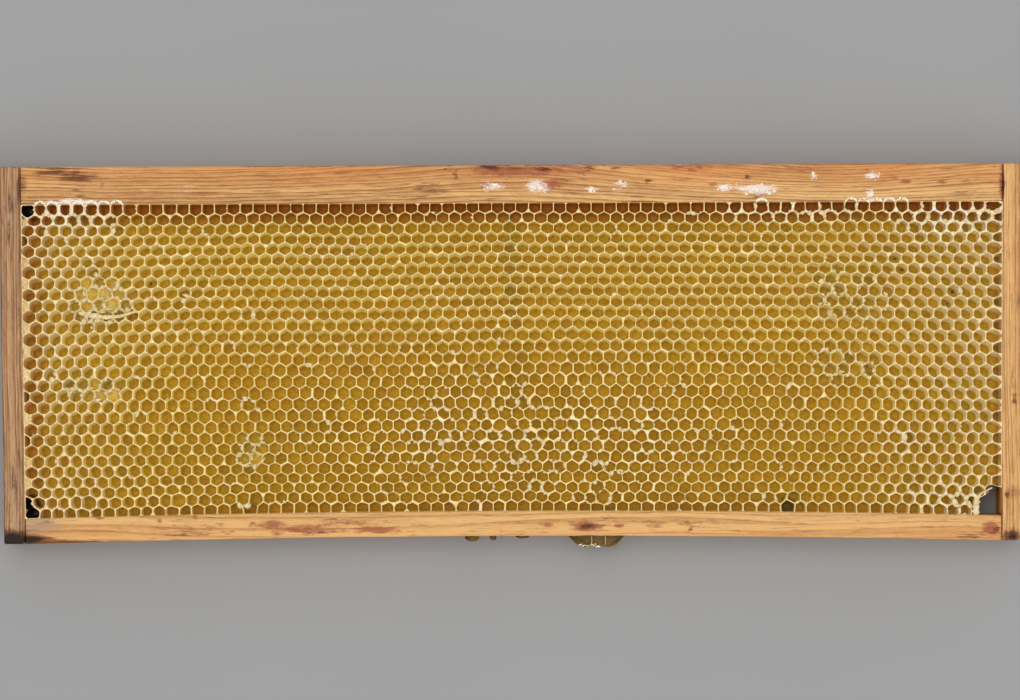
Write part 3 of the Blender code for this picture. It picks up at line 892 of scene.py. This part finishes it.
def wood_material(name, light, dark, ring_wide):
    """Old pine. The mesh says where each point lies along and across its rings, and how stained it is."""
    made = Nodes(name)
    along, across, deep, warm = made.attribute("wood")
    dirt, red, white, grey = made.attribute("stain")

    def streaks(scale, length, detail=3, roughness=0.6):
        """Noise drawn out along the grain."""
        stretched = made.add("ShaderNodeCombineXYZ")
        for socket, value in zip(stretched.inputs, (made.times(along, length), across, deep)):
            made.put(socket, value)
        return made.noise(scale, detail, roughness, stretched.outputs[0])

    rings, fibres = streaks(260, 0.012, 1), streaks(2400, 0.03, 2)
    bands, blotches, crumbs = streaks(190, 0.015, 1), streaks(420, 0.3, 3, 0.65), streaks(1100, 0.25, 3, 0.7)
    count = made.plus(made.times(across, 1 / ring_wide), made.ramp(rings, 0, 1, -1.3, 1.3))
    late = made.math("POWER", made.math("FRACT", count), 2.5)
    share = made.plus(made.ramp(late, 0, 1, 0.62, -0.12), made.ramp(bands, 0.35, 0.65, -0.14, 0.34))
    for noise, darker, lighter in ((fibres, -0.14, 0.3), (blotches, -0.16, 0.2), (crumbs, -0.12, 0.12)):
        share = made.plus(share, made.ramp(noise, 0.3, 0.7, darker, lighter))
    colour = made.mix(made.ramp(share, 0, 1), dark, light)
    colour = made.mix(made.times(warm, made.ramp(blotches, 0.3, 0.7, 0.4, 1.0)), colour, WOOD_WARM)
    aged = made.ramp(made.plus(grey, made.ramp(blotches, 0.3, 0.7, -0.3, 0.3)), 0.2, 0.8, 0.0, 0.8)
    colour = made.mix(aged, colour, WOOD_GREY)

    def broken(amount, noise, spread, low, high, strength):
        """A stain that the noise breaks up."""
        wide = made.plus(amount, made.ramp(noise, 0.25, 0.75, -spread, spread))
        return made.times(made.ramp(wide, low, high), made.ramp(amount, 0.02, 0.15, 0, strength))

    mixed = made.times(made.plus(crumbs, blotches), 0.5)
    drawn = made.times(made.plus(mixed, streaks(900, 0.07, 3, 0.65)), 0.5)
    colour = made.mix(broken(red, mixed, 0.8, 0.15, 0.7, 0.8), colour, WOOD_RED)
    colour = made.mix(broken(dirt, drawn, 1.1, 0.25, 0.75, 0.9), colour, WOOD_SOILED, "MULTIPLY")
    charred = made.ramp(made.plus(dirt, made.ramp(drawn, 0.3, 0.7, -0.35, 0.35)), 1.1, 1.5)
    colour = made.mix(charred, colour, WOOD_CHARRED)
    waxed = broken(white, crumbs, 0.6, 0.2, 0.8, 0.8)
    made.surface(made.mix(waxed, colour, WAX_ON_WOOD), made.ramp(waxed, 0, 1, 0.72, 0.45), 0.3)
    made.bump(made.plus(fibres, made.times(late, -0.6)), 0.3, 0.3 * MM)
    return made.material


def stain_shares(x, y):
    """How dirty, red, waxed and grey the wood is at each point, from the named stains."""
    for kind in ("dirt", "red", "white", "grey"):
        shares = []
        for middle, size, strength in in_metres(*STAINS[kind]):
            shares.append(strength * spot(x, y, middle, STAIN_WIDENS * np.array(size)))
        yield np.max(shares, axis=0)


def ring_height(x):
    """How far the top bar's rings rise and fall along it."""
    places, heights = np.array(TOP_BAR_RINGS).T * MM
    return sum(np.interp(x + shift * MM, places, heights) for shift in (-12, -4, 4, 12)) / 4


def wooden_bar(node, look, slot):
    """A bar in the place of its solid: worn a little, with its rings, and with the stains of the photo."""
    upright = "side" in node
    steps = (CUT_ACROSS, CUT_ALONG, CUT_DOWN) if upright else (CUT_ALONG, CUT_ACROSS, CUT_DOWN)
    made = finely_cut(node, node + "_wood", steps)
    mesh = made.data
    mesh.materials.clear()
    mesh.materials.append(look)
    place, facing = vertex_rows(mesh), vertex_rows(mesh, "normal")
    x, y, z = place.T
    along, across = (y, x) if upright else (x, y)
    if node == "top_bar":
        up = (y - INNER_TOP) / (TOP_Y - INNER_TOP)
        rise = ring_height(x) * (0.6 + 0.9 * up)
        warm = step(67 * MM, 80 * MM, y) * (0.35 + 0.4 * np.abs(wander(x, y, 40 * MM, 3)))
    elif node == "bottom_bar":
        rise, warm = 1.5 * MM * wander(x, 0 * y, 60 * MM, 5), 0.3 * step(-66 * MM, -76 * MM, y)
    else:
        rise, warm = 0.5 * MM * wander(0 * x, y, 50 * MM, 6), 0.1 + 0 * x
    rise = rise + 0.25 * MM * wander(along, across * 4, 14 * MM, 8)
    colour_layer(mesh, "wood", (along, across - rise, 0.35 * z, warm))
    dirt, red, white, grey = stain_shares(x, y)
    on_face = step(0, 3 * MM, z - FRAME_DEEP + 4 * MM)
    on_edge = np.abs(facing).max(1) < 0.9
    soiled = np.maximum(dirt * on_face, DIRT_EVERYWHERE + DIRT_ON_EDGES * on_edge)
    colour_layer(mesh, "stain", (soiled, red * on_face, white * on_face, grey))
    wear = WORN_DEEP * (0.55 + 0.45 * wander(along * 0.3, across, 3 * MM, 9)) * (1 + EDGES_WORN * on_edge)
    top, under = facing[:, 2] > 0.5, facing[:, 2] < -0.5
    place[:, 2] += np.where(top, -wear - FACE_SUNK, np.where(under, wear, 0))
    mesh.vertices.foreach_set("co", place.ravel())
    mesh.shade_smooth()
    mesh.set_sharp_from_angle(angle=math.radians(35))
    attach(made, "root")
    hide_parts(node)


def crumbs(name, look, seed, groups, **wax):
    """Crumpled scraps of wax in one mesh. A group is places with turns, sizes, thickness, tip and yellowness."""
    draw = default_rng(seed)
    points, faces, tones = [], [], []
    turn = 2 * math.pi * np.arange(SCRAP_SIDES) / SCRAP_SIDES
    for places, sizes, thick, tip, yellow in groups:
        for (x, y, z, spin), size in zip(places, sizes):
            wide = size / 2 * draw.uniform(0.45, 1.1, SCRAP_SIDES)
            stretch = draw.uniform(0.3, 0.7)
            across, up = wide * np.cos(turn), wide * np.sin(turn) * stretch
            flat = np.stack((across, up, draw.uniform(-0.08, 0.08, SCRAP_SIDES) * size), 1)
            middle = np.array([[0, 0, draw.uniform(-0.1, 0.1) * size]])
            half = np.array([0, 0, thick / 2])
            rings = (flat + half * 0.5, flat - half * 0.5, middle + 1.3 * half, middle - 1.3 * half)
            turned = Matrix.Rotation(spin, 3, "Z") @ Matrix.Rotation(draw.uniform(-tip, tip), 3, "X")
            turned = turned @ Matrix.Rotation(draw.uniform(-tip, tip), 3, "Y")
            shape = np.concatenate(rings) @ np.array(turned).T + (x, y, 0)
            shape[:, 2] += min(z, SCRAP_TOP - shape[:, 2].max())
            first = len(points)
            points += shape.tolist()
            tones += [yellow] * len(shape)
            for k in range(SCRAP_SIDES):
                a, b = first + k, first + (k + 1) % SCRAP_SIDES
                c, d = a + SCRAP_SIDES, b + SCRAP_SIDES
                upper, lower = first + 2 * SCRAP_SIDES, first + 2 * SCRAP_SIDES + 1
                faces += [(a, c, b), (b, c, d), (a, b, upper), (d, c, lower)]
    made = mesh_object(name, points, faces, look)
    paint(made.data, yellow=np.array(tones), **wax)
    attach(made, "root")
    return made


def scattered(draw, middle, spread, count, z):
    """Places round a middle, in millimetres, at heights up to 0.4 mm below z, each turned its own way."""
    far = draw.normal(size=(count, 2)).clip(-1.6, 1.6) * spread * MM
    high = z - draw.uniform(0, 0.4 * MM, (count, 1))
    return np.concatenate((np.array(middle) * MM + far, high, draw.uniform(0, math.pi, (count, 1))), 1)


def along_walls(draw, net, walls, aside, z):
    """Places on some of the net's walls, up to a little beside them, turned along them."""
    start, end = net.ends[walls].T
    turn = np.arctan2(net.y[end] - net.y[start], net.x[end] - net.x[start]) + draw.normal(size=len(walls)) * 0.25
    far = draw.normal(size=(2, len(walls))).clip(-1.5, 1.5) * aside
    return np.stack((net.edge_x[walls] + far[0], net.edge_y[walls] + far[1], np.full(len(walls), z), turn), 1)


def flakes(look, net):
    """Broken cappings: white scraps on rims, yellow ones in torn places, big ones where the photo has them."""
    draw = default_rng(SEED + 40)
    x, y = net.edge_x, net.edge_y
    free = ~net.on_wood & ~in_missing_corner(x, y, 1.2)
    weight = (0.25 + 1.6 * ragged(x, y) + 0.8 * yellow_patch(x, y)) * free
    chosen = draw.choice(len(x), SMALL_FLAKES, replace=False, p=weight / weight.sum())
    small = along_walls(draw, net, chosen, 0.3 * MM, RIM_Z)
    groups = [(small, 0.9 * draw.uniform(0.3, 1.0, SMALL_FLAKES) ** -1.0 * MM, 0.2 * MM, 0.4, 0)]
    weight = weight * (0.1 + ragged(x, y))
    chosen = draw.choice(len(x), LONG_FLAKES, replace=False, p=weight / weight.sum())
    long = along_walls(draw, net, chosen, 0.3 * MM, RIM_Z)
    groups.append((long, (2.2 + 2.2 * draw.random(LONG_FLAKES) ** 2) * MM, FLAKE_THICK, 0.15, 0))
    for *middle, size in BIG_FLAKES:
        far = np.hypot(x - middle[0] * MM, y - middle[1] * MM)
        near = along_walls(draw, net, np.argsort(far)[:2], 0.2 * size * MM, RIM_Z + 0.1 * MM)
        groups.append((near, draw.uniform(1.2, 1.9, 2) * size * MM, FLAKE_THICK, 0.15, 0))
    weight = yellow_patch(x, y) ** 2 * free
    chosen = draw.choice(len(x), YELLOW_FLAKES, replace=False, p=weight / weight.sum())
    smears = along_walls(draw, net, chosen, 0.5 * MM, RIM_Z - 0.3 * MM)
    groups.append((smears, draw.uniform(2.0, 4.4, YELLOW_FLAKES) * MM, 0.3 * MM, 0.3, 0.8))
    crumbs("broken_cappings", look, SEED + 41, groups, pale=0.8, white=0.1, dark=0.1)


def wax_on_wood(look, net):
    """White wax smeared on the top bar, in patches and in arcs over the first row of cells."""
    draw = default_rng(SEED + 50)
    groups = []
    face, top = FRAME_DEEP - FACE_SUNK - 0.04 * MM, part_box("top_bar")[1].y
    for x, y, wide, high, strength in STAINS["white"]:
        if strength > 0.4:
            count = int(0.9 * wide * high * strength) + 3
            places = np.array((x, y)) + draw.normal(0, 0.42, (count, 2)).clip(-0.85, 0.85) * (wide, high)
            turns = draw.uniform(0, math.pi, (count, 1))
            places = np.concatenate((places * MM, np.full((count, 1), face), turns), 1)
            places = places[(places[:, 1] > INNER_TOP + 0.8 * MM) & (places[:, 1] < top - 1.1 * MM)]
            groups.append((places, draw.uniform(0.8, 3.0, len(places)) * MM, SMEAR_THICK, 0.04, 0))
    crumbs("wax_on_top_bar", look, SEED + 51, groups, pale=1.0, white=1.0)
    arcs = []
    for x in net.cell_x[:COLUMNS] / MM:
        if any(start < x < end for start, end in WAX_ARCS):
            angle = np.radians(np.linspace(32, 148, 9) + draw.uniform(-8, 8))
            far = draw.uniform(2.7, 3.1)
            path = np.stack((x + far * np.cos(angle), INNER_TOP / MM - 1.6 + far * np.sin(angle)), 1)
            arcs.append((path, ARC_THICK))
    tops = (SCRAP_TOP, SCRAP_TOP - 1.2 * MM)
    wax_walls("wax_arcs", look, arcs, *tops, SEED + 52, pale=1.0, white=0.8)


def dark_specks(look, net):
    """Dark crumbs in a few cells."""
    draw = default_rng(SEED + 60)
    groups = []
    for *middle, size in DARK_SPECKS:
        near = np.argmin(np.hypot(net.cell_x - middle[0] * MM, net.cell_y - middle[1] * MM))
        inside = (net.cell_x[near] / MM, net.cell_y[near] / MM - 0.6)
        places = scattered(draw, inside, 0.35 * size, SPECK_CRUMBS, FRAME_DEEP - 2.5 * MM)
        groups.append((places, np.full(SPECK_CRUMBS, 1.5 * size * MM), 0.5 * MM, 0.7, 0))
    crumbs("dark_specks", look, SEED + 61, groups, dark=0.95)


def wax_walls(name, look, walls, top, bottom, seed, **wax):
    """Upright walls of wax with ragged upper edges, in one mesh. Each is a path and how thick it is, in mm."""
    draw = default_rng(seed)
    points, faces, depths = [], [], []
    for path, thick in walls:
        path, thick = np.array(path) * MM, np.array(thick) * MM
        wall_points, wall_faces, wall_depths = wax_wall(draw, path, thick, top, bottom)
        faces += [[len(points) + number for number in face] for face in wall_faces]
        points += wall_points
        depths += wall_depths
    made = mesh_object(name, points, faces, look)
    paint(made.data, deep=0.5 * np.array(depths), **wax)
    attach(made, "root")
    return made


def wax_wall(draw, path, thick, top, bottom):
    """The points and faces of one upright wall of wax, and how deep each point lies."""
    along = np.concatenate(([0], np.cumsum(np.linalg.norm(np.diff(path, axis=0), axis=1))))
    count = int(along[-1] / (0.4 * MM)) + 2
    at = np.linspace(0, along[-1], count)
    line = np.stack([np.interp(at, along, path[:, n]) for n in (0, 1)], 1)
    ahead = np.gradient(line, axis=0)
    ahead /= np.linalg.norm(ahead, axis=1, keepdims=True)
    side = np.stack((-ahead[:, 1], ahead[:, 0]), 1)
    half = np.interp(at, along, thick)[:, None] / 2
    levels = np.array((0, 0.25, 1, 3, 6, 9)) / 9
    rows = []
    for sign in (1, -1):
        for level in levels if sign > 0 else levels[::-1]:
            rough = 1 + 0.25 * draw.normal(size=(count, 1)).clip(-1.5, 1.5)
            narrow = 0.55 if level == 0 else 1
            z = top - (top - bottom) * level - 0.25 * MM * draw.random(count) * (level < 0.5)
            rows.append(np.concatenate((line + sign * side * half * rough * narrow, z[:, None]), 1))
    rows = np.array(rows)
    around = len(rows)
    number = np.arange(around * count).reshape(around, count)
    faces = []
    for n in range(around):
        a, b = number[n], number[(n + 1) % around]
        faces += np.stack((a[:-1], b[:-1], b[1:], a[1:]), 1).tolist()
    faces += [number[::-1, 0].tolist(), number[:, -1].tolist()]
    return rows.reshape(-1, 3).tolist(), faces, np.repeat(np.concatenate((levels, levels[::-1])), count).tolist()


def burr(look):
    """The lumps of comb under the bottom bar, olive with painted shade, with thin pale walls on the large one.
    """
    for node in ("burr_comb", "burr_scrap_1", "burr_scrap_2", "burr_scrap_3"):
        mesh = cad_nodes[node].data
        x, y, z = vertex_rows(mesh).T
        low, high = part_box(node)
        aside = np.abs(2 * (x - low.x) / (high.x - low.x) - 1)
        # Painted shade of the bottom bar over the lumps: darker towards their sides, darkest on the faces that
        # show and half as dark further down
        shade = 0.83 + 0.08 * step(0.2, 1, aside) + 0.06 * wander(x, y, 2 * MM, 70)
        shade = shade * (0.5 + 0.5 * step(high.z - 5 * MM, high.z - 1.5 * MM, z))
        paint(mesh, deep=0.8, brown=0.6, dark=np.clip(shade, 0, 1))
        mesh.materials.clear()
        mesh.materials.append(look)
    low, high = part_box("burr_comb")
    walls = [(path, (0.35, 0.45, 0.3)) for path in BURR_WALLS]
    tops = (high.z + 0.3 * MM, high.z - 4 * MM)
    # The walls are painted partly dark as well, painted shade like the lumps
    wax_walls("burr_walls", look, walls, *tops, SEED + 71, pale=0.5, dark=0.35)
    draw = default_rng(SEED + 80)
    places = np.zeros((RIM_CRUMBS, 4))
    places[:, 0] = np.linspace(28.5, 37, RIM_CRUMBS) * MM
    places[:, 1] = low.y + 0.8 * MM + draw.uniform(-0.1, 1.0, RIM_CRUMBS) * MM
    places[:, 2] = high.z
    groups = [(places, draw.uniform(0.8, 1.9, RIM_CRUMBS) * MM, 0.2 * MM, 0.6, 0)]
    crumbs("burr_rim", look, SEED + 81, groups, pale=1.0, white=0.8)


def soft_light(name, place, size, power):
    data = bpy.data.lights.new(name, "AREA")
    data.shape = "SQUARE"
    data.size = size
    data.energy = power
    made = new_object(name, data)
    made.location = place
    made.rotation_euler = Vector(place).to_track_quat("Z", "Y").to_euler()
    made.visible_camera = False


def studio():
    """The plain floor, the soft light and the camera that looks straight down."""
    floor_look = Nodes("floor")
    shade = floor_look.ramp(floor_look.noise(6, 2), 0.3, 0.7, 0.985, 1.015)
    floor_look.surface(floor_look.grey(floor_look.times(shade, FLOOR_GREY)), 0.9, 0.1)
    corners = [(x * FLOOR_HALF, y * FLOOR_HALF, 0) for x, y in ((-1, -1), (1, -1), (1, 1), (-1, 1))]
    floor = mesh_object("floor", corners, [(0, 1, 2, 3)], floor_look.material, smooth=False)

    for light in LIGHTS:
        soft_light(*light)
    world = bpy.data.worlds.new("studio")
    world.use_nodes = True
    background = world.node_tree.nodes["Background"]
    background.inputs["Color"].default_value = (1, 1, 1, 1)
    background.inputs["Strength"].default_value = WORLD_LIGHT
    bpy.context.scene.world = world

    camera = bpy.data.cameras.new("camera")
    camera.lens = CAMERA_LENS
    holder = new_object("camera", camera)
    holder.location = CAMERA_PLACE
    holder.rotation_euler = (0, 0, CAMERA_TURN)
    bpy.context.scene.camera = holder
    bpy.context.scene.view_settings.view_transform = "Standard"


def main():
    wax = wax_material("wax", 0.5, 0.35)
    net = comb_side("front", True, 0, SEED, wax)
    comb_side("back", False, 1, SEED + 100, wax)
    woods = {name: wood_material(name, *colours_and_rings) for name, *colours_and_rings in WOODS}
    for node, wood, slot in BARS:
        wooden_bar(node, woods[wood], slot)
    flakes(wax, net)
    wax_on_wood(wax, net)
    dark_specks(wax, net)
    edge, ridge = [(TORN_EDGE, TORN_THICK)], [(TORN_RIDGE, RIDGE_THICK)]
    wax_walls("torn_edge_wax", wax, edge, RIM_Z, 6 * MM, SEED + 65, pale=1.0)
    wax_walls("torn_ridge_wax", wax, ridge, RIM_Z, RIM_Z - 3 * MM, SEED + 66, pale=0.8, dark=0.1)
    burr(wax_material("dull_wax", 0.8, 0.08))
    studio()


main()
